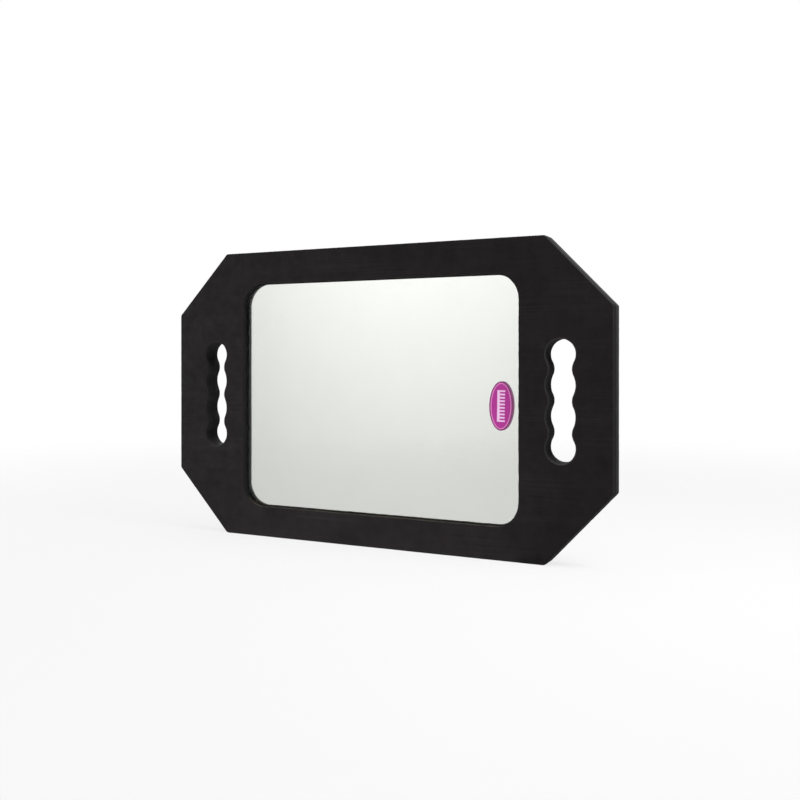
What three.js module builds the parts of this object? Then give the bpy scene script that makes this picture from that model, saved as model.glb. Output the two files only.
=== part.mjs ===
import * as THREE from "three";

// A two-handed salon mirror: a glass mirror sunk into a thick octagonal foam slab that has a
// scalloped finger slot through each end. Lengths are in millimetres. X runs along the mirror,
// Y from its face to its back, Z up. The origin is in the middle of the edge it stands on.

// Driving dimensions.
const slab = { width: 440, height: 275, thickness: 20 };
const cornerCut = { across: 57.5, upLower: 61.6, upUpper: 59.4 };
const frontLayerThickness = 10;
const mirrorWindow = { width: 283.2, height: 216.4, cornerRadius: 22, lowered: 0.9, shifted: -1.65 };
const fingerSlot = {
  fromSlabEnd: 44,
  centreHeight: 136.8,
  endRadius: 12.8,
  endCentreOffset: 39,
  fingerHalfWidth: 12.6,
  neckHalfWidth: 9.6,
  neckOffset: 26.7,
};
const recessDepth = 5.4;
const glass = { thickness: 3, edgeClearance: 0.5 };
const silveringThickness = 0.1;
const safetyFilm = { thickness: 0.2, inset: 3 };
const tape = { width: 20, inset: 8, endGap: 4 };
const laminatingFilm = { thickness: 0.2, inset: 1.5 };
const label = { width: 21.4, height: 42.2, fromWindowSide: 17.5, centreHeight: 131.5, leanDegrees: 1 };
const labelFilmThickness = 0.15;
const labelAdhesiveThickness = 0.1;
const gap = 0.05;

// Worked out from the driving dimensions.
const halfWidth = slab.width / 2;
const frontFace = -slab.thickness / 2;
const backFace = slab.thickness / 2;
const frontLayerBack = frontFace + frontLayerThickness;
const laminatingFront = frontLayerBack + gap;
const rearPanelFront = laminatingFront + laminatingFilm.thickness + gap;
const glassFront = frontFace + recessDepth;
const glassBack = glassFront + glass.thickness;
const silveringBack = glassBack + gap + silveringThickness;
const safetyFilmBack = silveringBack + gap + safetyFilm.thickness;
const windowCentreX = mirrorWindow.shifted;
const windowCentreHeight = slab.height / 2 - mirrorWindow.lowered;
const slotCentreX = halfWidth - fingerSlot.fromSlabEnd;
const glassSize = {
  width: mirrorWindow.width - 2 * glass.edgeClearance,
  height: mirrorWindow.height - 2 * glass.edgeClearance,
  cornerRadius: mirrorWindow.cornerRadius - glass.edgeClearance,
};

const foam = () => new THREE.MeshStandardMaterial({ color: 0x272526, roughness: 0.85, metalness: 0 });
const materials = {
  front_frame: foam(),
  rear_panel: foam(),
  laminating_adhesive: new THREE.MeshStandardMaterial({ color: 0xb9ad8c, roughness: 0.4, metalness: 0 }),
  mirror_glass: new THREE.MeshStandardMaterial({ color: 0xe9ece8, roughness: 0.03, metalness: 0.9 }),
  mirror_silvering: new THREE.MeshStandardMaterial({ color: 0xd9dad6, roughness: 0.05, metalness: 1 }),
  safety_film: new THREE.MeshStandardMaterial({ color: 0x8f949a, roughness: 0.5, metalness: 0 }),
  mounting_tape: () => new THREE.MeshStandardMaterial({ color: 0xe4e2da, roughness: 0.9, metalness: 0 }),
  label_film: new THREE.MeshStandardMaterial({ color: 0xb23c94, roughness: 0.35, metalness: 0 }),
  label_adhesive: new THREE.MeshStandardMaterial({ color: 0xd8d2c0, roughness: 0.4, metalness: 0 }),
};

// A corner cut of an inset outline, which keeps the same distance from the cut as from the sides.
function insetCut(cutUp, inset) {
  const excess = inset * (cornerCut.across + cutUp - Math.hypot(cornerCut.across, cutUp));
  return { across: cornerCut.across - excess / cutUp, up: cutUp - excess / cornerCut.across };
}

// A rectangle with four cut corners, standing on z = inset, drawn in the plane of X and height.
function octagon(inset = 0) {
  const side = halfWidth - inset;
  const bottom = inset;
  const top = slab.height - inset;
  const lower = insetCut(cornerCut.upLower, inset);
  const upper = insetCut(cornerCut.upUpper, inset);
  return new THREE.Shape([
    new THREE.Vector2(-side + lower.across, bottom),
    new THREE.Vector2(side - lower.across, bottom),
    new THREE.Vector2(side, bottom + lower.up),
    new THREE.Vector2(side, top - upper.up),
    new THREE.Vector2(side - upper.across, top),
    new THREE.Vector2(-side + upper.across, top),
    new THREE.Vector2(-side, top - upper.up),
    new THREE.Vector2(-side, bottom + lower.up),
  ]);
}

function roundedRectangle(PathType, centreX, centreZ, width, height, radius) {
  const right = centreX + width / 2;
  const left = centreX - width / 2;
  const top = centreZ + height / 2;
  const bottom = centreZ - height / 2;
  const quarter = Math.PI / 2;
  const path = new PathType();
  path.moveTo(left + radius, bottom);
  path.lineTo(right - radius, bottom);
  path.absarc(right - radius, bottom + radius, radius, -quarter, 0);
  path.lineTo(right, top - radius);
  path.absarc(right - radius, top - radius, radius, 0, quarter);
  path.lineTo(left + radius, top);
  path.absarc(left + radius, top - radius, radius, quarter, 2 * quarter);
  path.lineTo(left, bottom + radius);
  path.absarc(left + radius, bottom + radius, radius, 2 * quarter, 3 * quarter);
  path.closePath();
  return path;
}

// A finger slot is a chain of tangent arcs: a round lobe at each end, two shallow finger lobes
// between them on each side, and a small convex neck arc wherever two lobes meet. The neck and
// finger radii follow from the tangency.
function slotOutline(centreX, grow = 0) {
  const s = fingerSlot;
  const endRise = s.endCentreOffset - s.neckOffset;
  const neckRadius =
    (s.neckHalfWidth ** 2 + endRise ** 2 - s.endRadius ** 2) / (2 * (s.endRadius - s.neckHalfWidth));
  const neckCentreX = s.neckHalfWidth + neckRadius;
  const shortfall = neckCentreX - s.fingerHalfWidth;
  const halfPitch = s.neckOffset / 2;
  const fingerRadius =
    (shortfall ** 2 + halfPitch ** 2 - neckRadius ** 2) / (2 * (neckRadius - shortfall));
  const fingerCentreX = s.fingerHalfWidth - fingerRadius;

  // Each arc's centre, from the top of the slot down its right-hand side.
  const right = [
    { x: 0, z: s.endCentreOffset, radius: s.endRadius + grow, hollow: true },
    { x: neckCentreX, z: s.neckOffset, radius: neckRadius - grow, hollow: false },
    { x: fingerCentreX, z: halfPitch, radius: fingerRadius + grow, hollow: true },
    { x: neckCentreX, z: 0, radius: neckRadius - grow, hollow: false },
    { x: fingerCentreX, z: -halfPitch, radius: fingerRadius + grow, hollow: true },
    { x: neckCentreX, z: -s.neckOffset, radius: neckRadius - grow, hollow: false },
    { x: 0, z: -s.endCentreOffset, radius: s.endRadius + grow, hollow: true },
  ];
  const stepLength = 2.2;
  const side = [];
  right.forEach((arc, index) => {
    const outward = arc.hollow ? 0 : Math.PI;
    const angleTo = (other) => {
      const towards = Math.atan2(other.z - arc.z, other.x - arc.x);
      return arc.hollow ? towards : towards + (towards < 0 ? 2 * Math.PI : 0);
    };
    const before = right[index - 1];
    const after = right[index + 1];
    const start = before ? angleTo(before) : outward + Math.PI / 2;
    const end = after ? angleTo(after) : outward - Math.PI / 2;
    const steps = Math.max(2, Math.round((Math.abs(end - start) * arc.radius) / stepLength));
    const first = before ? 1 : 0;
    for (let step = first; step <= steps; step += 1) {
      const angle = start + ((end - start) * step) / steps;
      const across = arc.x + arc.radius * Math.cos(angle);
      const up = arc.z + arc.radius * Math.sin(angle);
      side.push(new THREE.Vector2(across, up));
    }
  });
  const left = side.slice(1, -1).reverse().map((point) => new THREE.Vector2(-point.x, point.y));
  const place = new THREE.Vector2(centreX, s.centreHeight);
  return new THREE.Path([...side, ...left].map((point) => point.clone().add(place)));
}

function slotPair(grow = 0) {
  return [slotOutline(-slotCentreX, grow), slotOutline(slotCentreX, grow)];
}

function windowOutline(PathType, inset = 0) {
  return roundedRectangle(
    PathType,
    windowCentreX,
    windowCentreHeight,
    mirrorWindow.width - 2 * inset,
    mirrorWindow.height - 2 * inset,
    mirrorWindow.cornerRadius - inset,
  );
}

// A flat piece cut to an outline, standing upright between two depths.
function layer(name, shape, front, back, material, curveSegments = 12) {
  const options = { depth: back - front, bevelEnabled: false, curveSegments };
  const geometry = new THREE.ExtrudeGeometry(shape, options);
  const mesh = new THREE.Mesh(geometry, material);
  mesh.name = name;
  mesh.rotation.x = Math.PI / 2;
  mesh.position.y = back;
  return mesh;
}

function withHoles(shape, holes) {
  shape.holes.push(...holes);
  return shape;
}

function frontFrame() {
  const shape = withHoles(octagon(), [windowOutline(THREE.Path), ...slotPair()]);
  return layer("front_frame", shape, frontFace, frontLayerBack, materials.front_frame);
}

function rearPanel() {
  const shape = withHoles(octagon(), slotPair());
  return layer("rear_panel", shape, rearPanelFront, backFace, materials.rear_panel);
}

// The adhesive follows the frame's outline and stops short of every edge.
function laminatingAdhesive() {
  const inset = laminatingFilm.inset;
  const shape = withHoles(octagon(inset), [windowOutline(THREE.Path, -inset), ...slotPair(inset)]);
  const back = laminatingFront + laminatingFilm.thickness;
  return layer("laminating_adhesive", shape, laminatingFront, back, materials.laminating_adhesive);
}

function mirrorPlate(name, inset, front, back, material) {
  const shape = roundedRectangle(
    THREE.Shape,
    windowCentreX,
    windowCentreHeight,
    glassSize.width - 2 * inset,
    glassSize.height - 2 * inset,
    glassSize.cornerRadius - inset,
  );
  return layer(name, shape, front, back, material);
}

// Four strips of double-sided tape, laid as a frame behind the mirror.
function mountingTapes() {
  const halfAcross = glassSize.width / 2 - tape.inset;
  const halfUp = glassSize.height / 2 - tape.inset;
  const fromMiddle = { x: halfAcross - tape.width / 2, rise: halfUp - tape.width / 2 };
  const flat = { width: 2 * halfAcross, height: tape.width };
  const upright = { width: tape.width, height: 2 * (halfUp - tape.width - tape.endGap) };
  const front = safetyFilmBack + gap;
  const back = rearPanelFront - gap;
  const strips = [
    { name: "mounting_tape_top", x: 0, rise: fromMiddle.rise, ...flat },
    { name: "mounting_tape_bottom", x: 0, rise: -fromMiddle.rise, ...flat },
    { name: "mounting_tape_left", x: -fromMiddle.x, rise: 0, ...upright },
    { name: "mounting_tape_right", x: fromMiddle.x, rise: 0, ...upright },
  ];
  return strips.map((strip) => {
    const mesh = new THREE.Mesh(
      new THREE.BoxGeometry(strip.width, back - front, strip.height),
      materials.mounting_tape(),
    );
    mesh.name = strip.name;
    mesh.position.set(windowCentreX + strip.x, (front + back) / 2, windowCentreHeight + strip.rise);
    return mesh;
  });
}

// The label is stuck on by hand, so its top leans a little towards the near side of the window.
function labelLayer(name, front, back, material) {
  const centreX = windowCentreX + mirrorWindow.width / 2 - label.fromWindowSide;
  const lean = THREE.MathUtils.degToRad(-label.leanDegrees);
  const halfSize = [label.width / 2, label.height / 2];
  const ellipse = new THREE.Shape();
  ellipse.absellipse(centreX, label.centreHeight, ...halfSize, 0, 2 * Math.PI, false, lean);
  return layer(name, ellipse, front, back, material, 48);
}

function labelPieces() {
  const adhesiveBack = glassFront - gap;
  const adhesiveFront = adhesiveBack - labelAdhesiveThickness;
  const filmBack = adhesiveFront - gap;
  return [
    labelLayer("label_adhesive", adhesiveFront, adhesiveBack, materials.label_adhesive),
    labelLayer("label_film", filmBack - labelFilmThickness, filmBack, materials.label_film),
  ];
}

const mirrorStack = new THREE.Group();
mirrorStack.add(
  mirrorPlate("mirror_glass", 0, glassFront, glassBack, materials.mirror_glass),
  mirrorPlate("mirror_silvering", 0, glassBack + gap, silveringBack, materials.mirror_silvering),
  mirrorPlate("safety_film", safetyFilm.inset, silveringBack + gap, safetyFilmBack, materials.safety_film),
  ...mountingTapes(),
  ...labelPieces(),
);

const foamBody = new THREE.Group();
foamBody.add(frontFrame(), laminatingAdhesive(), rearPanel());

const handMirror = new THREE.Group();
handMirror.add(foamBody, mirrorStack);

export default handMirror;
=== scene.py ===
"""A two-handed salon mirror: a glass mirror sunk into a thick octagonal slab of black foam."""

import math
from collections import namedtuple

import bmesh
import bpy
from mathutils import Matrix, Vector, kdtree, noise
from mathutils.geometry import delaunay_2d_cdt


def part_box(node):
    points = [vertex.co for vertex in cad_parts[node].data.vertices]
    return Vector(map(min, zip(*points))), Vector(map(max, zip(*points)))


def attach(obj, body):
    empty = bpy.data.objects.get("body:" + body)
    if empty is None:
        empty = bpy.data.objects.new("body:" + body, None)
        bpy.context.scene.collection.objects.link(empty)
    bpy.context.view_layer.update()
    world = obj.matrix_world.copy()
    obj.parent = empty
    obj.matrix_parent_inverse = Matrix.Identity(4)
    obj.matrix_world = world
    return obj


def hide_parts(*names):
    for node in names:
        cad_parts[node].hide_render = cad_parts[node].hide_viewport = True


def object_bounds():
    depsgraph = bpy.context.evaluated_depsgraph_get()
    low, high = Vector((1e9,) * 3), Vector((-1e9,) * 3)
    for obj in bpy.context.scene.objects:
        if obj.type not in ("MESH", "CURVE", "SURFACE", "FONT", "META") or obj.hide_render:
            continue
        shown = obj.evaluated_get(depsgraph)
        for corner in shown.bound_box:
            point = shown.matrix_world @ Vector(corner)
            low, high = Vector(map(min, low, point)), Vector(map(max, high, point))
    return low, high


MM = 0.001

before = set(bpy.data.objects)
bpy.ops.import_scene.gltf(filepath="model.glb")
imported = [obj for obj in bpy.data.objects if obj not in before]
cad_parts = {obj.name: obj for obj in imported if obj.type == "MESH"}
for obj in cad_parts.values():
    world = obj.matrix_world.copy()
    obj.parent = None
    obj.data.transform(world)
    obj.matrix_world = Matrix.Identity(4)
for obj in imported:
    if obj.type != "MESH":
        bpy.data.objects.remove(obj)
cad_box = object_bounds()

# The frame gives the overall sizes and depths, and these repeat the CAD model's inner outlines.
SLAB_LOW, SLAB_HIGH = cad_box
SLAB_WIDTH = SLAB_HIGH.x - SLAB_LOW.x
SLAB_HEIGHT = SLAB_HIGH.z
FRONT_Y = SLAB_LOW.y
MIDDLE_Y = (SLAB_LOW.y + SLAB_HIGH.y) / 2
CUT_ACROSS = 57.5 * MM
CUT_UP_LOWER = 61.6 * MM
CUT_UP_UPPER = 59.4 * MM
LOWER_CORNER_RADIUS = 2.4 * MM
UPPER_CORNER_RADIUS = 1.0 * MM
WINDOW_RADIUS = 22 * MM
WINDOW_CLEARANCE = 0.3 * MM
SLOT_FROM_END = 44 * MM
SLOT_X = SLAB_WIDTH / 2 - SLOT_FROM_END
SLOT_Z = 136.8 * MM
SLOT_END_RADIUS = 12.8 * MM
SLOT_END_OFFSET = 39 * MM
SLOT_FINGER_HALF = 12.6 * MM
SLOT_NECK_HALF = 9.6 * MM
SLOT_NECK_OFFSET = 26.7 * MM

# By the photo the real slots stand a fraction of a millimetre off those places, and one leans.
LEFT_SLOT_SHIFT = -0.2 * MM
RIGHT_SLOT_SHIFT = -0.4 * MM
RIGHT_SLOT_LEAN = 0.45 * MM

# How far apart the points of each outline are.
ARC_SPACING = 0.7 * MM
CORNER_SPACING = 0.3 * MM
OCTAGON_SPACING = 1.8 * MM
WINDOW_SPACING = 1.2 * MM
SLOT_SPACING = 1.1 * MM
GLASS_SPACING = 1.5 * MM

# The camera sees the mirror from a little to its right, level with the middle of the glass.
CAMERA_PLACE = Vector((396.4, -749.5, 173.3)) * MM
CAMERA_AZIMUTH = math.radians(26.45)
CAMERA_ELEVATION = math.radians(0.14)
CAMERA_LENS = 41.49
CAMERA_SHIFT_Y = -0.0507


# ---------------------------------------------------------------- outlines

def arc(centre, radius, start, end, spacing=ARC_SPACING):
    """Points on an arc in the plane of X and Z, with both ends."""
    steps = max(2, round(abs(end - start) * radius / spacing))
    angles = [start + (end - start) * i / steps for i in range(steps + 1)]
    x, z = centre
    return [Vector((x + radius * math.cos(a), z + radius * math.sin(a))) for a in angles]


def resample(loop, spacing):
    """The same closed outline with evenly spaced points."""
    corners = loop + [loop[0]]
    lengths = [(b - a).length for a, b in zip(corners, corners[1:])]
    count = max(12, round(sum(lengths) / spacing))
    step = sum(lengths) / count
    points = []
    walked = 0.0
    edge = 0
    for i in range(count):
        target = i * step
        while walked + lengths[edge] < target:
            walked += lengths[edge]
            edge += 1
        share = (target - walked) / lengths[edge]
        points.append(corners[edge].lerp(corners[edge + 1], share))
    return points


def rounded_polygon(corners, radii):
    """A convex outline, anticlockwise, with an arc at each corner."""
    loop = []
    for i, corner in enumerate(corners):
        before = (corners[i - 1] - corner).normalized()
        after = (corners[(i + 1) % len(corners)] - corner).normalized()
        half_angle = math.acos(max(-1.0, min(1.0, before.dot(after)))) / 2
        centre = corner + (before + after).normalized() * (radii[i] / math.sin(half_angle))
        reach = radii[i] / math.tan(half_angle)
        first = corner + before * reach - centre
        last = corner + after * reach - centre
        start = math.atan2(first.y, first.x)
        turn = math.atan2(first.x * last.y - first.y * last.x, first.dot(last))
        loop += arc(centre, radii[i], start, start + turn, CORNER_SPACING)
    return loop


def octagon():
    """The slab's outline. Its lower corners are worn rounder than its upper ones."""
    side = SLAB_WIDTH / 2
    top = SLAB_HEIGHT
    lower = LOWER_CORNER_RADIUS
    upper = UPPER_CORNER_RADIUS
    corners = [
        (-side + CUT_ACROSS, 0), (side - CUT_ACROSS, 0),
        (side, CUT_UP_LOWER), (side, top - CUT_UP_UPPER),
        (side - CUT_ACROSS, top), (-side + CUT_ACROSS, top),
        (-side, top - CUT_UP_UPPER), (-side, CUT_UP_LOWER),
    ]
    radii = [lower, lower, lower, upper, upper, upper, upper, lower]
    return rounded_polygon([Vector(c) for c in corners], radii)


def rounded_rectangle(low, high, radius):
    """The outline of a box seen from the front, with an arc at each corner."""
    corners = [(low.x, low.z), (high.x, low.z), (high.x, high.z), (low.x, high.z)]
    return rounded_polygon([Vector(c) for c in corners], [radius] * 4)


def slot_outline(centre_x):
    """A chain of tangent arcs: round end lobes, shallow finger lobes and convex necks between them."""
    end_rise = SLOT_END_OFFSET - SLOT_NECK_OFFSET
    neck_radius = (SLOT_NECK_HALF**2 + end_rise**2 - SLOT_END_RADIUS**2) / (
        2 * (SLOT_END_RADIUS - SLOT_NECK_HALF)
    )
    neck_x = SLOT_NECK_HALF + neck_radius
    shortfall = neck_x - SLOT_FINGER_HALF
    half_pitch = SLOT_NECK_OFFSET / 2
    finger_radius = (shortfall**2 + half_pitch**2 - neck_radius**2) / (2 * (neck_radius - shortfall))
    finger_x = SLOT_FINGER_HALF - finger_radius
    # Each arc's centre x, centre z, radius and whether it is hollow, up the slot's right-hand side.
    chain = [
        (0, -SLOT_END_OFFSET, SLOT_END_RADIUS, True),
        (neck_x, -SLOT_NECK_OFFSET, neck_radius, False),
        (finger_x, -half_pitch, finger_radius, True),
        (neck_x, 0, neck_radius, False),
        (finger_x, half_pitch, finger_radius, True),
        (neck_x, SLOT_NECK_OFFSET, neck_radius, False),
        (0, SLOT_END_OFFSET, SLOT_END_RADIUS, True),
    ]
    right = []
    for i, (x, z, radius, hollow) in enumerate(chain):
        def towards(other):
            angle = math.atan2(other[1] - z, other[0] - x)
            return angle if hollow or angle > 0 else angle + 2 * math.pi
        start = towards(chain[i - 1]) if i else -math.pi / 2
        end = towards(chain[i + 1]) if i + 1 < len(chain) else math.pi / 2
        right += arc((x, z), radius, start, end)[(1 if i else 0):]
    left = [Vector((-p.x, p.y)) for p in reversed(right[1:-1])]
    return [Vector((centre_x + p.x, SLOT_Z + p.y)) for p in right + left]


def outward_normals(loop):
    """For an anticlockwise outline, the direction at each point that keeps an offset's distance."""
    normals = []
    for i, point in enumerate(loop):
        before = (point - loop[i - 1]).normalized()
        after = (loop[(i + 1) % len(loop)] - point).normalized()
        mean = Vector((before.y + after.y, -before.x - after.x)).normalized()
        normals.append(mean / max(0.5, mean.dot(Vector((after.y, -after.x)))))
    return normals


# ---------------------------------------------------------------- meshes

FILL_WITH_HOLES = 2
SAME_POINT_DISTANCE = 1e-7


def bridge(bm, ring, after, material_index):
    """A strip of faces between two rings of vertices."""
    for i in range(len(ring)):
        j = (i + 1) % len(ring)
        face = bm.faces.new((ring[i], ring[j], after[j], after[i]))
        face.material_index = material_index


def consecutive_runs(rings):
    """For rings whose points are numbered one after another, each ring's own numbers."""
    runs = []
    start = 0
    for ring in rings:
        runs.append(list(range(start, start + len(ring))))
        start += len(ring)
    return runs


def triangulate(points, rings):
    """Fills between an outline ring and its hole rings, whose points come first. Gives all points,
    the triangles as numbers of points, and for each point the given point that it came from."""
    made = delaunay_2d_cdt(points, [], consecutive_runs(rings), FILL_WITH_HOLES, SAME_POINT_DISTANCE)
    places, triangles, sources = made[0], made[2], made[3]
    return places, triangles, [source[0] for source in sources]


def mesh_object(name, bm, materials, sharp_angle=40):
    """Turns a bmesh into an object of the scene, smooth except across sharp edges."""
    mesh = bpy.data.meshes.new(name)
    bm.to_mesh(mesh)
    bm.free()
    for material in materials:
        mesh.materials.append(material)
    mesh.polygons.foreach_set("use_smooth", [True] * len(mesh.polygons))
    mesh.set_sharp_from_angle(angle=math.radians(sharp_angle))
    piece = bpy.data.objects.new(name, mesh)
    bpy.context.scene.collection.objects.link(piece)
    return piece


# ---------------------------------------------------------------- foam slabs

FACE_SPACING = 7 * MM
FACE_CLEARANCE = 0.45 * FACE_SPACING
FACE_RING = 1.4 * MM
FACE_SWELL = 0.12 * MM
FACE_SWELL_SIZE = 48 * MM
LIP_STEPS = 5
WALL_ROWS = 4
SEAM_SWELL = 0.11 * MM
SEAM_DEPTH = 1.3 * MM
SEAM_ROUNDING = 0.12 * MM

# The materials of a foam layer, in their order.
SKIN, OUTER_CUT, SLOT_CUT, WINDOW_CUT = range(4)

# A cut through the foam: its points, whether the foam is inside or outside it, how wide its
# edges are rounded and how strong a painted highlight their lips get, how far the knife strayed,
# how far it leaned to the right at the slab's face, a number that makes its waviness its own, and
# the material of its wall.
Cut = namedtuple("Cut", "loop side lip pale rough lean seed wall")


def stray(point, depth, cut):
    """How far a cut strays from its line: a slow drift, short nicks and a fine roughness."""
    x, z = point

    def wave(size, phase):
        return noise.noise(Vector((x / size, z / size, cut.seed + phase)))

    drift = wave(37 * MM, 0.0)
    nick = wave(4.6 * MM, depth / (9 * MM))
    fine = wave(1.9 * MM, depth / (2.5 * MM))
    return cut.rough * (0.3 * drift + 0.45 * nick + 0.25 * fine) * MM


def lip_rows(edge, towards, lip):
    """A quarter round from a flat face at depth `edge` to the wall: how far in, the depth and how
    much of a rim it is."""
    rows = []
    for i in range(LIP_STEPS + 1):
        angle = math.pi / 2 * i / LIP_STEPS
        into = lip * (1 - math.sin(angle))
        depth = edge + towards * lip * (1 - math.cos(angle))
        rows.append((into, depth, math.sin(2 * angle)))
    return rows


def seam_rows(edge, towards):
    """Where the two layers are bonded, each swells a little towards the other at its very edge,
    outside the adhesive, which stops short of it."""
    swollen = edge - towards * SEAM_SWELL
    return [
        (SEAM_DEPTH, edge, 0.0),
        (0.6 * SEAM_DEPTH, swollen, 0.0),
        (SEAM_ROUNDING, swollen, 0.0),
        (0.0, edge, 0.0),
    ]


def edge_profile(front, back, lip, seam_y):
    """Rows across a slab's edge, from its front face to its back, and where the wall starts."""
    ends = []
    for edge, towards in ((front, 1), (back, -1)):
        rows = seam_rows(edge, towards) if edge == seam_y else lip_rows(edge, towards, lip)
        ends.append([(rows[0][0] + FACE_RING, edge, 0.0)] + rows)
    first = ends[0][-1][1]
    last = ends[1][-1][1]
    wall = [(0.0, first + (last - first) * i / WALL_ROWS, 0.0) for i in range(1, WALL_ROWS)]
    return ends[0] + wall + ends[1][::-1], len(ends[0]) - 1


def fill_face(bm, rings, y, height_of):
    """Fills a face between its outline ring and its hole rings with even triangles."""
    verts = [v for ring in rings for v in ring]
    points = [Vector((v.co.x, v.co.z)) for v in verts]
    tree = kdtree.KDTree(len(points))
    for i, p in enumerate(points):
        tree.insert((p.x, p.y, 0), i)
    tree.balance()
    columns = int(SLAB_WIDTH / FACE_SPACING) + 1
    rows = int(SLAB_HEIGHT / FACE_SPACING) + 1
    for column in range(columns + 1):
        for row in range(rows + 1):
            shift = 0.5 * (row % 2)
            p = Vector((SLAB_LOW.x + (column + shift) * FACE_SPACING, row * FACE_SPACING))
            nearest = tree.find((p.x, p.y, 0))[2]
            if nearest > FACE_CLEARANCE:
                points.append(p)
    places, triangles, sources = triangulate(points, rings)
    own = {i: verts[source] for i, source in enumerate(sources) if source < len(verts)}
    for triangle in triangles:
        for i in triangle:
            if i not in own:
                p = places[i]
                own[i] = bm.verts.new((p.x, height_of(p.x, p.y, y), p.y))
        bm.faces.new([own[i] for i in triangle])


def foam_slab(name, cuts, front, back, seam_y, materials):
    """A foam layer. Its outer face undulates a little, and the one at seam_y is bonded flat."""
    skin_y = back if seam_y == front else front

    def height_of(x, z, y):
        """How deep a point of the face lies. The depth of the layer makes its waves its own."""
        place = Vector((x / FACE_SWELL_SIZE, z / FACE_SWELL_SIZE, 3.7 + front / MM))
        share = (y - seam_y) / (skin_y - seam_y)
        return y + FACE_SWELL * noise.noise(place) * share

    bm = bmesh.new()
    rim_layer = bm.verts.layers.float.new("rim")
    first_rings, last_rings = [], []
    for cut in cuts:
        profile, wall_start = edge_profile(front, back, cut.lip, seam_y)
        rings = []
        for into, depth, rim in profile:
            ring = []
            for point, normal in zip(cut.loop, outward_normals(cut.loop)):
                place = point - normal * cut.side * (into + stray(point, depth, cut))
                place.x += cut.lean * (MIDDLE_Y - depth) / (MIDDLE_Y - FRONT_Y)
                vert = bm.verts.new((place.x, height_of(place.x, place.y, depth), place.y))
                # The rim value is a painted highlight along the rounded lips.
                vert[rim_layer] = rim * cut.pale
                ring.append(vert)
            rings.append(ring)
        for row, (ring, after) in enumerate(zip(rings, rings[1:])):
            on_wall = wall_start <= row < wall_start + WALL_ROWS
            bridge(bm, ring, after, cut.wall if on_wall else SKIN)
        first_rings.append(rings[0])
        last_rings.append(rings[-1])
    fill_face(bm, first_rings, front, height_of)
    fill_face(bm, last_rings, back, height_of)
    bmesh.ops.recalc_face_normals(bm, faces=bm.faces)
    return mesh_object(name, bm, materials)


# ---------------------------------------------------------------- material helpers

class Nodes:
    """A short way to add nodes to a tree and link them."""

    def __init__(self, tree):
        self.tree = tree

    def add(self, kind, inputs=None, **settings):
        """A new node, with values or links for its sockets and values for its own settings."""
        node = self.tree.nodes.new(kind)
        for key, value in settings.items():
            setattr(node, key, value)
        for key, value in (inputs or {}).items():
            self.set(node.inputs[key], value)
        return node

    def set(self, socket, value):
        """Links another node's output to a socket, or gives it a constant."""
        if isinstance(value, bpy.types.NodeSocket):
            self.tree.links.new(value, socket)
        else:
            socket.default_value = value

    def remap(self, value, low, high, to_low=0.0, to_high=1.0, smooth=False):
        """Stretches the range from low to high to another one, and clamps what lies beyond."""
        node = self.add(
            "ShaderNodeMapRange",
            {"Value": value, "From Min": low, "From Max": high, "To Min": to_low, "To Max": to_high},
            interpolation_type="SMOOTHSTEP" if smooth else "LINEAR",
        )
        return node.outputs["Result"]

    def product(self, a, b):
        return self.add("ShaderNodeMath", {0: a, 1: b}, operation="MULTIPLY").outputs[0]

    def weighted_sum(self, *terms):
        """The sum of some values, each times its own weight."""
        total = None
        for value, weight in terms:
            part = self.product(value, weight)
            if total is None:
                total = part
            else:
                total = self.add("ShaderNodeMath", {0: total, 1: part}, operation="ADD").outputs[0]
        return total

    # The mixing node has sockets 2 and 3 for numbers, and 6 and 7 for colours.

    def mix(self, share, a, b):
        """A mix of two colours."""
        return self.add("ShaderNodeMix", {0: share, 6: a, 7: b}, data_type="RGBA").outputs[2]

    def mix_values(self, share, a, b):
        """A mix of two numbers."""
        return self.add("ShaderNodeMix", {0: share, 2: a, 3: b}, data_type="FLOAT").outputs[0]


class MaterialNodes(Nodes):
    """The nodes of one new material, with patterns that are sized in millimetres."""

    def __init__(self, name):
        self.material = bpy.data.materials.new(name)
        self.material.use_nodes = True
        super().__init__(self.material.node_tree)
        self.shader = self.tree.nodes["Principled BSDF"]

    def shade(self, **inputs):
        """Sets the shader's own sockets: base_color=..., roughness=... and so on."""
        names = {socket.name.lower().replace(" ", "_"): socket for socket in self.shader.inputs}
        for key, value in inputs.items():
            self.set(names[key], value)

    def position(self, sizes, offset):
        """Object position in millimetres, divided by a pattern's size along each axis."""
        coordinates = self.add("ShaderNodeTexCoord").outputs["Object"]
        mapping = self.add("ShaderNodeMapping", {"Vector": coordinates, "Location": offset})
        mapping.inputs["Scale"].default_value = [1 / (MM * size) for size in sizes]
        return mapping.outputs["Vector"]

    def noise(self, size, detail, roughness, offset=(0, 0, 0)):
        """Soft noise. Its size is one number, or one for each axis where it is drawn out."""
        sizes = size if isinstance(size, tuple) else (size,) * 3
        place = self.position(sizes, offset)
        inputs = {"Vector": place, "Scale": 1.0, "Detail": detail, "Roughness": roughness}
        return self.add("ShaderNodeTexNoise", inputs).outputs["Fac"]

    def cells(self, size, feature="F1", offset=(0, 0, 0)):
        """The distance from the middle of the nearest of some irregular cells."""
        inputs = {"Vector": self.position((size,) * 3, offset), "Scale": 1.0}
        return self.add("ShaderNodeTexVoronoi", inputs, feature=feature).outputs["Distance"]

    def bump(self, height, distance, strength):
        """A normal tilted by a height map, whose full height is `distance`."""
        inputs = {"Height": height, "Distance": distance, "Strength": strength}
        return self.add("ShaderNodeBump", inputs).outputs["Normal"]

    def attribute(self, name):
        """A value stored on the mesh's vertices."""
        return self.add("ShaderNodeAttribute", attribute_name=name).outputs["Fac"]


def colour(red, green, blue):
    return (red, green, blue, 1.0)


# ---------------------------------------------------------------- materials

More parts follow.
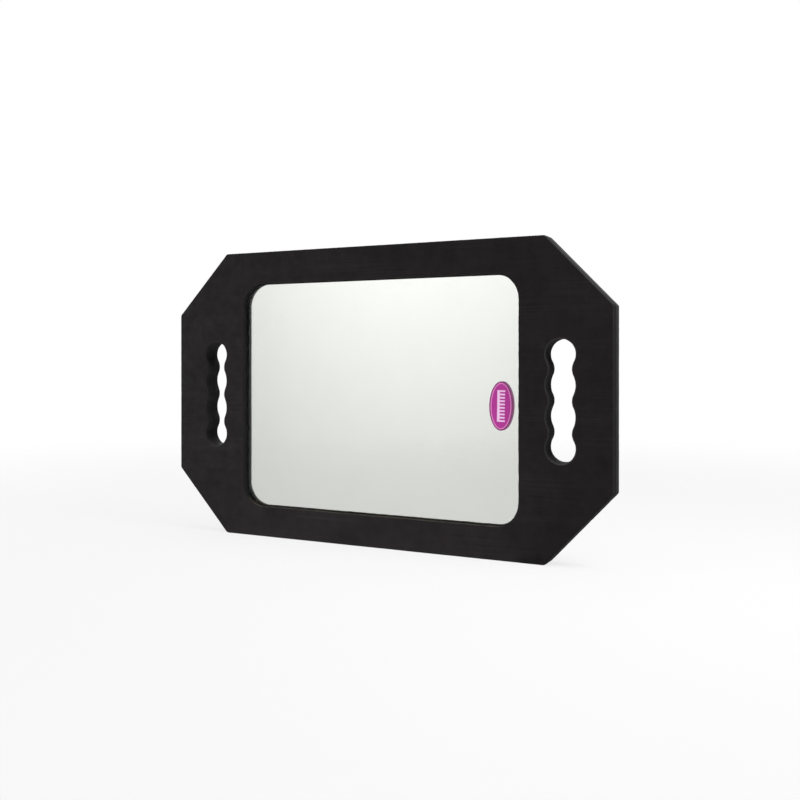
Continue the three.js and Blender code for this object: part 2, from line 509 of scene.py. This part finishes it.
def foam_skin(name, seed):
    """The slab's flat faces: black closed-cell foam, skived, so it has faint streaks and clouds."""
    m = MaterialNodes(name)
    clouds = m.noise(24, 3, 0.6, (seed, 0, 0))
    hue = m.noise(17, 2, 0.5, (seed + 40, 9, 0))
    dark = colour(0.0058, 0.0045, 0.0052)
    pale = colour(0.0102, 0.0082, 0.0092)
    base = m.mix(m.remap(clouds, 0.3, 0.7), dark, pale)
    base = m.mix(m.remap(hue, 0.42, 0.72, 0, 0.6), base, colour(0.0124, 0.0081, 0.0102))
    streaks = m.remap(m.noise((120, 120, 1.3), 2, 0.6, (seed, 0, 5)), 0.42, 0.62)
    streak_places = m.remap(m.noise((80, 80, 24), 1, 0.5, (seed + 7, 0, 0)), 0.42, 0.66)
    upright = m.remap(m.noise((1.6, 95, 80), 2, 0.6, (seed, 3, 0)), 0.45, 0.65)
    upright_places = m.remap(m.noise((30, 70, 50), 1, 0.5, (seed + 21, 0, 0)), 0.52, 0.70, 0, 0.4)
    grain = m.weighted_sum((streaks, streak_places), (upright, upright_places))
    base = m.mix(m.product(grain, 0.22), base, colour(0.026, 0.025, 0.026))
    # Painted highlight: the rounded lips are made paler, most at the middle of each lip.
    base = m.mix(m.product(m.attribute("rim"), 0.8), base, colour(0.048, 0.046, 0.047))
    speck = m.remap(m.cells(13, offset=(seed, 2, 1)), 0.012, 0.022, 1.0, 0.0)
    base = m.mix(m.product(speck, 0.4), base, colour(0.09, 0.086, 0.082))
    pores = m.remap(m.cells(0.55, feature="SMOOTH_F1"), 0.15, 0.75)
    height = m.weighted_sum((pores, 0.6), (grain, 0.5), (m.noise(3.0, 3, 0.6), 0.6))
    rough = m.remap(m.noise(9, 3, 0.6, (seed, 0, 30)), 0.3, 0.7, 0.66, 0.82)
    m.shade(
        base_color=base, roughness=rough, specular_ior_level=0.16, sheen_weight=0.02,
        sheen_roughness=0.5, normal=m.bump(height, 0.09 * MM, 0.9),
    )
    return m.material


def foam_cut(name, seed, light, painted_top_light=0.0):
    """The slab's edges: the same foam cut open, with its cells showing and lines from the blade.
    `light` scales its greys, which paints shade or light on each wall, and the last argument paints
    light, paler and tan and in patches, where a ledge faces up."""
    m = MaterialNodes(name)

    def grey(level):
        return colour(level * light, 0.965 * level * light, 0.99 * level * light)

    clouds = m.noise(14, 3, 0.6, (seed, 0, 0))
    base = m.mix(m.remap(clouds, 0.3, 0.7), grey(0.020), grey(0.025))
    lines = m.remap(m.noise((60, 0.7, 60), 2, 0.6, (0, seed, 0)), 0.4, 0.65)
    walls = m.remap(m.cells(0.5, offset=(seed, 0, 0)), 0.35, 0.7)
    base = m.mix(m.product(walls, 0.35), base, grey(0.060))
    # Painted light: where the wall faces up it is made paler and tan, in patches.
    if painted_top_light:
        normal = m.add("ShaderNodeNewGeometry").outputs["Normal"]
        upward = m.remap(m.add("ShaderNodeSeparateXYZ", {0: normal}).outputs["Z"], 0.6, 0.95)
        patches = m.remap(m.noise((5, 5, 2), 3, 0.7, (seed, 1, 0)), 0.3, 0.6, 0.35 * painted_top_light, painted_top_light)
        base = m.mix(m.product(upward, patches), base, colour(0.125, 0.108, 0.085))
    height = m.weighted_sum((walls, 0.7), (lines, 0.5), (m.noise(2.2, 3, 0.6), 0.6))
    rough = m.remap(m.noise(6, 3, 0.6, (seed, 0, 30)), 0.3, 0.7, 0.72, 0.9)
    m.shade(
        base_color=base, roughness=rough, specular_ior_level=0.06,
        normal=m.bump(height, 0.14 * MM, 0.9),
    )
    return m.material


def mirror_glass_face():
    """Clear float glass with the faintest film of handling on it."""
    m = MaterialNodes("mirror_glass")
    film = m.noise(34, 4, 0.6)
    clean = colour(0.978, 0.983, 0.976)
    handled = colour(0.968, 0.974, 0.966)
    tint = m.mix(m.remap(film, 0.35, 0.7), clean, handled)
    smear = m.remap(m.noise((60, 60, 16), 4, 0.65, (5, 0, 0)), 0.55, 0.8, 0.0, 0.035)
    m.shade(base_color=tint, roughness=smear, ior=1.52, transmission_weight=1.0, specular_ior_level=0.2)
    return m.material


def sealed_glass_edge():
    """The mirror's edge, painted dark to keep damp out of the silvering."""
    m = MaterialNodes("mirror_edge_seal")
    brushed = m.noise((6, 0.6, 6), 3, 0.6)
    paint = m.mix(m.remap(brushed, 0.3, 0.7), colour(0.010, 0.010, 0.011), colour(0.020, 0.020, 0.021))
    m.shade(
        base_color=paint, roughness=m.remap(brushed, 0.3, 0.7, 0.45, 0.65),
        normal=m.bump(brushed, 0.03 * MM, 0.6),
    )
    return m.material


def silvering():
    """The reflecting coat, with the faint grain that its reflection shows."""
    m = MaterialNodes("mirror_silvering")
    grain = m.remap(m.noise(1.7, 2, 0.5), 0.3, 0.7)
    weave = m.remap(m.noise((0.9, 20, 6), 1, 0.5), 0.3, 0.7)
    bright = m.mix(grain, colour(0.880, 0.886, 0.858), colour(0.905, 0.911, 0.882))
    bright = m.mix(m.product(weave, 0.35), bright, colour(0.915, 0.920, 0.895))
    m.shade(base_color=bright, metallic=1.0, roughness=m.remap(grain, 0, 1, 0.008, 0.02))
    return m.material


def plastic_film(name, low, high, roughness, size, glow=None):
    """A thin satin sheet with a slight mottle. Its glow, a colour and a strength, stands for the
    light that soaks through it."""
    m = MaterialNodes(name)
    mottle = m.noise(size, 3, 0.6)
    spread = 0.08
    m.shade(
        base_color=m.mix(m.remap(mottle, 0.3, 0.7), low, high),
        roughness=m.remap(mottle, 0.3, 0.7, roughness - spread, roughness + spread),
        normal=m.bump(m.noise(0.8, 2, 0.5), 0.02 * MM, 0.6),
    )
    if glow:
        m.shade(emission_color=glow[0], emission_strength=glow[1])
    return m.material


def printed_ink(name, low, high, seed):
    """Screen-printed vinyl: slightly uneven ink under a satin surface."""
    m = MaterialNodes(name)
    ink = m.noise(2.6, 4, 0.65, (seed, 0, 0))
    dots = m.cells(0.35, feature="SMOOTH_F1", offset=(seed, 0, 0))
    coverage = m.weighted_sum((ink, 0.8), (dots, 0.25))
    base = m.mix(m.remap(coverage, 0.3, 0.75), low, high)
    m.shade(
        base_color=base, roughness=m.remap(ink, 0.3, 0.7, 0.3, 0.42), specular_ior_level=0.25,
        coat_weight=0.06, coat_roughness=0.2, normal=m.bump(m.noise(1.1, 2, 0.5), 0.012 * MM, 0.5),
    )
    return m.material


# ---------------------------------------------------------------- the foam body

def slot_cut(centre_x, pale, lean, seed):
    """A finger slot, with edges rounded wide enough for a hand."""
    return Cut(
        resample(slot_outline(centre_x), SLOT_SPACING), side=-1, lip=1.2 * MM, pale=pale, rough=0.25,
        lean=lean, seed=seed, wall=SLOT_CUT,
    )


def make_foam_body():
    """Both layers of the slab, the front one open for the mirror and the rear one closed."""
    glass_low, glass_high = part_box("mirror_glass")
    clearance = Vector((WINDOW_CLEARANCE, 0, WINDOW_CLEARANCE))
    window_loop = rounded_rectangle(glass_low - clearance, glass_high + clearance, WINDOW_RADIUS)
    # Each cut's pale value sets the painted highlight on its rounded lips, strongest for the right
    # slot, nearer the key light.
    outline = Cut(
        resample(octagon(), OCTAGON_SPACING), side=1, lip=0.55 * MM, pale=0.5, rough=0.16,
        lean=0.0, seed=0.0, wall=OUTER_CUT,
    )
    window = Cut(
        resample(window_loop, WINDOW_SPACING), side=-1, lip=0.3 * MM, pale=0.4, rough=0.42,
        lean=0.0, seed=11.3, wall=WINDOW_CUT,
    )
    slots = [
        slot_cut(-SLOT_X + LEFT_SLOT_SHIFT, pale=0.35, lean=0.0, seed=22.6),
        slot_cut(SLOT_X + RIGHT_SLOT_SHIFT, pale=0.9, lean=RIGHT_SLOT_LEAN, seed=33.9),
    ]
    front_low, front_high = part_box("front_frame")
    rear_low, rear_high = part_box("rear_panel")
    # The cut materials are one foam with its greys scaled apart for each wall: painted shade darkens
    # the slot walls and painted light brightens the window's wall. The rear layer's outer edge is made
    # paler than the front layer's.
    front_materials = [
        foam_skin("front_foam_skin", seed=0),
        foam_cut("front_foam_outer_cut", seed=0, light=0.52),
        foam_cut("front_foam_slot_cut", seed=30, light=0.72),
        foam_cut("front_foam_window_cut", seed=45, light=0.75, painted_top_light=0.65),
    ]
    front = foam_slab(
        "front_frame_foam", [outline, window] + slots, front_low.y, front_high.y,
        seam_y=front_high.y, materials=front_materials,
    )
    rear_materials = [
        foam_skin("rear_foam_skin", seed=150),
        foam_cut("rear_foam_outer_cut", seed=60, light=1.3),
        foam_cut("rear_foam_slot_cut", seed=90, light=0.7),
    ]
    rear = foam_slab(
        "rear_panel_foam", [outline] + slots, rear_low.y, rear_high.y,
        seam_y=rear_low.y, materials=rear_materials,
    )
    for piece, node in ((front, "front_frame"), (rear, "rear_panel")):
        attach(piece, "root")
        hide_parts(node)
    return front, rear


# ---------------------------------------------------------------- the mirror

GLASS_RADIUS = WINDOW_RADIUS - 0.5 * MM
GLASS_ARRIS = 0.35 * MM

# The materials of the glass, in their order.
CLEAR_GLASS, SEALED_EDGE = range(2)


def make_mirror():
    """The glass: a plate with a small flat arris round both faces."""
    low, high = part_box("mirror_glass")
    loop = resample(rounded_rectangle(low, high, GLASS_RADIUS), GLASS_SPACING)
    normals = outward_normals(loop)
    insets = [(GLASS_ARRIS, low.y), (0, low.y + GLASS_ARRIS)]
    insets += [(0, high.y - GLASS_ARRIS), (GLASS_ARRIS, high.y)]
    bm = bmesh.new()
    rings = []
    for inset, depth in insets:
        places = [point - normal * inset for point, normal in zip(loop, normals)]
        rings.append([bm.verts.new((p.x, depth, p.y)) for p in places])
    for ring, after in zip(rings, rings[1:]):
        bridge(bm, ring, after, SEALED_EDGE)
    for ring in (rings[0], rings[-1]):
        face = bm.faces.new(ring)
        face.material_index = CLEAR_GLASS
    bmesh.ops.recalc_face_normals(bm, faces=bm.faces)
    materials = [mirror_glass_face(), sealed_glass_edge()]
    glass = mesh_object("mirror_glass_plate", bm, materials, sharp_angle=20)
    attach(glass, "root")
    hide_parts("mirror_glass")


# ---------------------------------------------------------------- the label

LABEL_HALF_WIDTH = 10.7 * MM
LABEL_HALF_HEIGHT = 21.1 * MM
LABEL_LEAN = math.radians(-1)
LABEL_BORDER = 1.2 * MM
LABEL_RING = 0.9 * MM
LABEL_BEVEL_DEPTH = 0.04 * MM
LABEL_BEVEL_WIDTH = 0.05 * MM
COMB_LENGTH = 27 * MM
COMB_SPINE = 2.3 * MM
COMB_TOOTH = 4.6 * MM
COMB_TEETH = 10
COMB_GUARD = 0.25 * MM  # how much longer the two end teeth are

# The label's inks, in their order.
BORDER_INK, RING_INK, FIELD_INK, MOTIF_INK = range(4)


def ellipse(half_width, half_height, count=120):
    """An oval outline round the origin, anticlockwise."""
    angles = [2 * math.pi * i / count for i in range(count)]
    return [Vector((half_width * math.cos(a), half_height * math.sin(a))) for a in angles]


def leaned(points, centre):
    """The label's own points put where it is stuck, leaning a little."""
    return [Vector(centre) + Matrix.Rotation(LABEL_LEAN, 2) @ point for point in points]


def comb_outline():
    """A plain comb standing on end: a straight spine with teeth to its right."""
    pitch = COMB_LENGTH / (2 * COMB_TEETH - 1)
    left = -(COMB_SPINE + COMB_TOOTH) / 2
    bottom = -COMB_LENGTH / 2
    points = [(left, bottom + COMB_LENGTH), (left, bottom)]
    for i in range(COMB_TEETH):
        low = bottom + 2 * i * pitch
        guard = 0.0 if 0 < i < COMB_TEETH - 1 else COMB_GUARD
        tip = left + COMB_SPINE + COMB_TOOTH + guard
        points += [(tip, low), (tip, low + pitch)]
        if i < COMB_TEETH - 1:
            root = left + COMB_SPINE
            points += [(root, low + pitch), (root, low + 2 * pitch)]
    return [Vector(p) for p in points]


def make_label():
    """A thin printed oval, whose four inks are separate faces of one solid."""
    low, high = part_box("label_film")
    centre = ((low.x + high.x) / 2, (low.z + high.z) / 2)
    materials = [
        printed_ink("label_border_ink", colour(0.22, 0.025, 0.150), colour(0.29, 0.040, 0.20), 0),
        printed_ink("label_ring_ink", colour(0.72, 0.20, 0.52), colour(0.80, 0.28, 0.60), 20),
        printed_ink("label_field_ink", colour(0.42, 0.026, 0.275), colour(0.50, 0.040, 0.335), 40),
        printed_ink("label_motif_ink", colour(0.88, 0.54, 0.82), colour(0.95, 0.62, 0.90), 60),
    ]
    bm = bmesh.new()
    insets = [(0, high.y), (0, low.y + LABEL_BEVEL_DEPTH), (LABEL_BEVEL_WIDTH, low.y)]
    insets += [(LABEL_BORDER, low.y), (LABEL_BORDER + LABEL_RING, low.y)]
    inks = [BORDER_INK, BORDER_INK, BORDER_INK, RING_INK]
    rings = []
    for inset, depth in insets:
        loop = leaned(ellipse(LABEL_HALF_WIDTH - inset, LABEL_HALF_HEIGHT - inset), centre)
        rings.append([bm.verts.new((p.x, depth, p.y)) for p in loop])
    for ring, after, ink in zip(rings, rings[1:], inks):
        bridge(bm, ring, after, ink)
    bm.faces.new(rings[0])

    motif = [bm.verts.new((p.x, low.y, p.y)) for p in leaned(comb_outline(), centre)]
    verts = rings[-1] + motif
    points = [Vector((v.co.x, v.co.z)) for v in verts]
    _, triangles, sources = triangulate(points, [rings[-1], motif])
    for triangle in triangles:
        face = bm.faces.new([verts[sources[i]] for i in triangle])
        face.material_index = FIELD_INK
    comb = bm.faces.new(motif)
    comb.material_index = MOTIF_INK
    bmesh.ops.recalc_face_normals(bm, faces=bm.faces)
    label = mesh_object("label_print", bm, materials, sharp_angle=30)
    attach(label, "root")
    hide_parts("label_film")


# ---------------------------------------------------------------- CAD nodes that stay

def finish_cad_nodes():
    """Materials for the pieces whose CAD meshes are kept."""
    adhesive = plastic_film(
        "dried_adhesive", colour(0.44, 0.38, 0.24), colour(0.54, 0.48, 0.33), roughness=0.4, size=5
    )
    # Painted light: the underside glows pink so that its reflection in the mirror shows bright.
    label_underside = plastic_film(
        "label_underside", colour(0.92, 0.36, 0.74), colour(0.96, 0.44, 0.80), roughness=0.5, size=2,
        glow=(colour(0.60, 0.22, 0.48), 0.28),
    )
    backing = plastic_film(
        "vinyl_backing", colour(0.24, 0.26, 0.29), colour(0.32, 0.34, 0.37), roughness=0.45, size=18
    )
    tape = plastic_film(
        "mounting_tape", colour(0.70, 0.68, 0.62), colour(0.80, 0.78, 0.72), roughness=0.75, size=4
    )
    finishes = {
        "laminating_adhesive": adhesive,
        "label_adhesive": label_underside,
        "mirror_silvering": silvering(),
        "safety_film": backing,
        "mounting_tape_top": tape,
        "mounting_tape_bottom": tape,
        "mounting_tape_left": tape,
        "mounting_tape_right": tape,
    }
    for node, material in finishes.items():
        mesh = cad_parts[node].data
        mesh.materials.clear()
        mesh.materials.append(material)


# ---------------------------------------------------------------- camera, floor and light

FLOOR_RADIUS = 3.0
FLOOR_CLEARNESS = 0.8
FLOOR_FADE = (0.25, 1.3)  # how far from the middle it starts to fade, and where it is gone
WALL_AZIMUTH = math.radians(25.5)
WALL_LIGHT = (0.76, 1.22)  # low down and higher up
ROOM_LIGHT = (0.45, 0.16)  # on the left and on the right
FLOOR_LIGHT = 0.78


def make_camera():
    """The photograph's camera."""
    data = bpy.data.cameras.new("camera")
    data.lens = CAMERA_LENS
    data.sensor_width = 36
    data.shift_y = CAMERA_SHIFT_Y
    data.clip_start = 0.01
    data.clip_end = 50
    camera = bpy.data.objects.new("camera", data)
    camera.location = CAMERA_PLACE
    camera.rotation_euler = (math.pi / 2 - CAMERA_ELEVATION, 0, CAMERA_AZIMUTH)
    bpy.context.scene.collection.objects.link(camera)
    bpy.context.scene.camera = camera


def make_floor():
    """A round pale floor, thin enough to melt into the white all round, that takes soft shadows."""
    bm = bmesh.new()
    bmesh.ops.create_circle(bm, cap_ends=True, segments=96, radius=FLOOR_RADIUS)
    floor = mesh_object("floor", bm, [])
    m = MaterialNodes("pale_floor")
    coordinates = m.add("ShaderNodeTexCoord").outputs["Object"]
    distance = m.add("ShaderNodeVectorMath", {0: coordinates}, operation="LENGTH").outputs["Value"]
    fade = m.remap(distance, *FLOOR_FADE, FLOOR_CLEARNESS, 1.0, smooth=True)
    paper = m.mix(m.noise(260, 2, 0.5), colour(0.80, 0.80, 0.80), colour(0.82, 0.82, 0.815))
    m.shade(base_color=paper, roughness=0.9, specular_ior_level=0.1)
    clear = m.add("ShaderNodeBsdfTransparent")
    share = m.add("ShaderNodeMixShader", {0: fade, 1: m.shader.outputs[0], 2: clear.outputs[0]})
    m.set(m.tree.nodes["Material Output"].inputs["Surface"], share.outputs[0])
    floor.data.materials.append(m.material)


def make_world():
    """White behind the object, and round it a studio that the mirror reflects: a bright soft wall
    to the front left, brighter higher up, a dimmer room elsewhere, and a pale floor below."""
    world = bpy.data.worlds.new("studio")
    bpy.context.scene.world = world
    world.use_nodes = True
    n = Nodes(world.node_tree)

    direction = n.add("ShaderNodeTexCoord").outputs["Generated"]
    split = n.add("ShaderNodeSeparateXYZ", {0: direction})
    sideways, upwards = split.outputs["X"], split.outputs["Z"]
    level = n.add("ShaderNodeVectorMath", {0: direction, 1: (1, 1, 0)}, operation="MULTIPLY")
    heading = n.add("ShaderNodeVectorMath", {0: level.outputs[0]}, operation="NORMALIZE")
    wall_heading = (-math.sin(WALL_AZIMUTH), -math.cos(WALL_AZIMUTH), 0)
    towards_wall = n.add(
        "ShaderNodeVectorMath", {0: heading.outputs[0], 1: wall_heading}, operation="DOT_PRODUCT"
    ).outputs["Value"]

    # The wall ends 18 degrees to either side of its middle, and fades from 14 to 30 degrees up.
    across = n.remap(towards_wall, 0.95, 1.0)
    up_the_wall = n.remap(upwards, 0.25, 0.5, 1.0, 0.0, smooth=True)
    on_wall = n.mix_values(up_the_wall, 0.0, across)
    wall = n.remap(upwards, -0.17, 0.12, *WALL_LIGHT)
    room = n.remap(sideways, -0.6, 0.8, *ROOM_LIGHT, smooth=True)
    below = n.remap(upwards, -0.40, -0.05, 1.0, 0.0, smooth=True)
    surroundings = n.mix_values(below, room, FLOOR_LIGHT)
    studio = n.mix_values(on_wall, surroundings, wall)

    seen_by_camera = n.add("ShaderNodeLightPath").outputs["Is Camera Ray"]
    background = n.tree.nodes["Background"]
    n.set(background.inputs["Color"], colour(1.0, 1.0, 1.0))
    n.set(background.inputs["Strength"], n.mix_values(seen_by_camera, studio, 1.0))


def light_only(light, pieces):
    """Keeps a light off everything but these pieces."""
    lit = bpy.data.collections.new(light.name + "_pieces")
    for piece in pieces:
        lit.objects.link(piece)
    light.light_linking.receiver_collection = lit


def add_softbox(name, place, target, size, power):
    """A square area light that faces its target and is not seen itself."""
    data = bpy.data.lights.new(name, "AREA")
    data.shape = "SQUARE"
    data.size = size
    data.energy = power
    light = bpy.data.objects.new(name, data)
    light.location = place
    light.rotation_euler = (Vector(target) - Vector(place)).to_track_quat("-Z", "Y").to_euler()
    light.visible_camera = False
    bpy.context.scene.collection.objects.link(light)
    return light


def make_studio(front_foam, rear_foam):
    """Soft lights all round, and two more that fill the foam's top and back alone."""
    middle = (0, 0, SLAB_HEIGHT / 2)
    make_floor()
    make_world()
    add_softbox("key_softbox", (0.50, -0.055, 0.60), middle, size=0.25, power=3.3)
    add_softbox("left_softbox", (-1.1, -0.45, 0.2), (-0.15, 0, 0.12), size=0.5, power=4.4)
    add_softbox("overhead_softbox", (-0.2, 0.0, 2.2), (0, 0, 0), size=1.6, power=12)
    bounce = add_softbox(
        "table_bounce", (-0.01, -0.16, 0.0005), (-0.01, -0.16, 1.0), size=0.3, power=0.40
    )
    bounce.visible_glossy = False
    bounce.visible_transmission = False
    back_fill = add_softbox("back_fill", (-1.4, 1.8, 0.7), middle, size=1.2, power=60)
    light_only(back_fill, [rear_foam])
    top_fill = add_softbox("top_fill", (-0.1, 0.6, 2.1), middle, size=1.0, power=48)
    light_only(top_fill, [front_foam, rear_foam])
    settings = bpy.context.scene.view_settings
    settings.view_transform = "Standard"
    settings.look = "None"


make_camera()
front_foam_layer, rear_foam_layer = make_foam_body()
make_mirror()
make_label()
finish_cad_nodes()
make_studio(front_foam_layer, rear_foam_layer)
